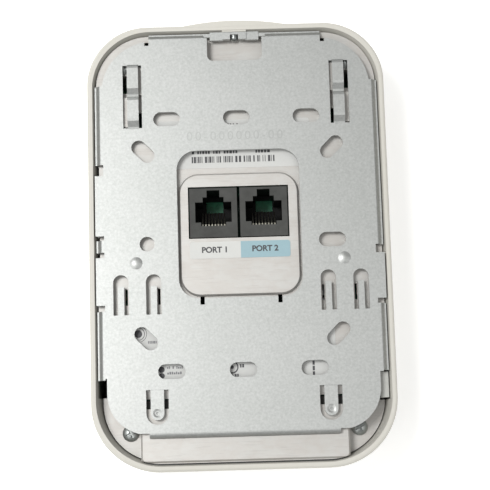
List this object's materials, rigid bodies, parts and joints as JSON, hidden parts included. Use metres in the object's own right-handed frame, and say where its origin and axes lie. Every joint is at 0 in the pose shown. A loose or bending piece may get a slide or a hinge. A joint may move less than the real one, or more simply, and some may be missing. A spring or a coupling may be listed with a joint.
{
  "type": "ceiling access point",
  "caption": "Slim rounded wireless access point on a slotted sheet-metal mounting bracket, with rear and edge network sockets and a sliding latch fit.",
  "frame": {"origin": "under the middle of the unit, on the plane that its front face rests on", "axes": "+Z out of the back towards the ceiling or wall, +Y towards the end with the security screw, +X to the right when the back is seen with +Y up"},
  "size_m": [0.0984, 0.1486, 0.0306],
  "materials": {
    "bracket_steel": "galvanised, fine matte grain",
    "cover_metal": "light warm grey, satin",
    "housing_plastic": "warm white, fine matte texture",
    "jack_plastic": "dark grey, matte",
    "contact_metal": "gold-plated spring wire",
    "screw_steel": "nickel-plated",
    "board_laminate": "green solder mask",
    "chip_black": "black moulded package",
    "shield_tin": "tin-plated sheet",
    "antenna_metal": "stamped strip",
    "cast_aluminium": "cast",
    "light_pipe_clear": "frosted clear",
    "button_grey": "light grey",
    "label_paper": "coated paper, part light blue",
    "core_ferrite": "dark sintered"
  },
  "bodies": {
    "mounting_bracket": {"mounting_bracket": "bracket_steel"},
    "tongue_right": {"detent_tongue_right": "bracket_steel"},
    "tongue_left": {"detent_tongue_left": "bracket_steel"},
    "access_point": {"front_housing": "housing_plastic", "back_cover": "cover_metal", "cover_screws": "screw_steel", "board_screws": "screw_steel", "uplink_jack": "jack_plastic", "uplink_contacts": "contact_metal", "console_jack": "jack_plastic", "console_contacts": "contact_metal", "lan_jack_block": "jack_plastic", "lan_contacts": "contact_metal", "main_board": "board_laminate", "processor_chip": "chip_black", "memory_chips": "chip_black", "switch_chip": "chip_black", "radio_chips": "chip_black", "radio_shield_left": "shield_tin", "radio_shield_right": "shield_tin", "power_transformer": "core_ferrite", "uplink_magnetics": "chip_black", "power_inductors": "core_ferrite", "capacitors": "shield_tin", "antenna_left_upper": "antenna_metal", "antenna_right_upper": "antenna_metal", "antenna_left_lower": "antenna_metal", "antenna_right_lower": "antenna_metal", "heat_spreader": "cast_aluminium", "light_pipe": "light_pipe_clear", "status_led": "light_pipe_clear", "mode_switch": "chip_black", "port_label": "label_paper", "serial_label": "label_paper", "rating_label": "label_paper"},
    "security_screw": {"security_screw": "screw_steel"},
    "mode_button": {"mode_button": "button_grey"}
  },
  "joints": [
    {"name": "unit_slide", "type": "slide", "parent": "mounting_bracket", "child": "access_point", "axis": [0, 1, 0], "range_m": [0, 0.007]},
    {"name": "tongue_right_flex", "type": "hinge", "parent": "mounting_bracket", "child": "tongue_right", "pos_m": [0.0278, -0.04815, 0.029], "axis": [-1, 0, 0], "range_deg": [0, 4], "stiffness_Nm_per_rad": 5},
    {"name": "tongue_left_flex", "type": "hinge", "parent": "mounting_bracket", "child": "tongue_left", "pos_m": [-0.0278, -0.04815, 0.029], "axis": [-1, 0, 0], "range_deg": [0, 4], "stiffness_Nm_per_rad": 5},
    {"name": "security_screw_travel", "type": "slide", "parent": "access_point", "child": "security_screw", "axis": [0, 1, 0], "range_m": [0, 0.005]},
    {"name": "mode_button_press", "type": "slide", "parent": "access_point", "child": "mode_button", "axis": [-1, 0, 0], "range_m": [0, 0.0008], "stiffness_N_per_m": 2000}
  ]
}
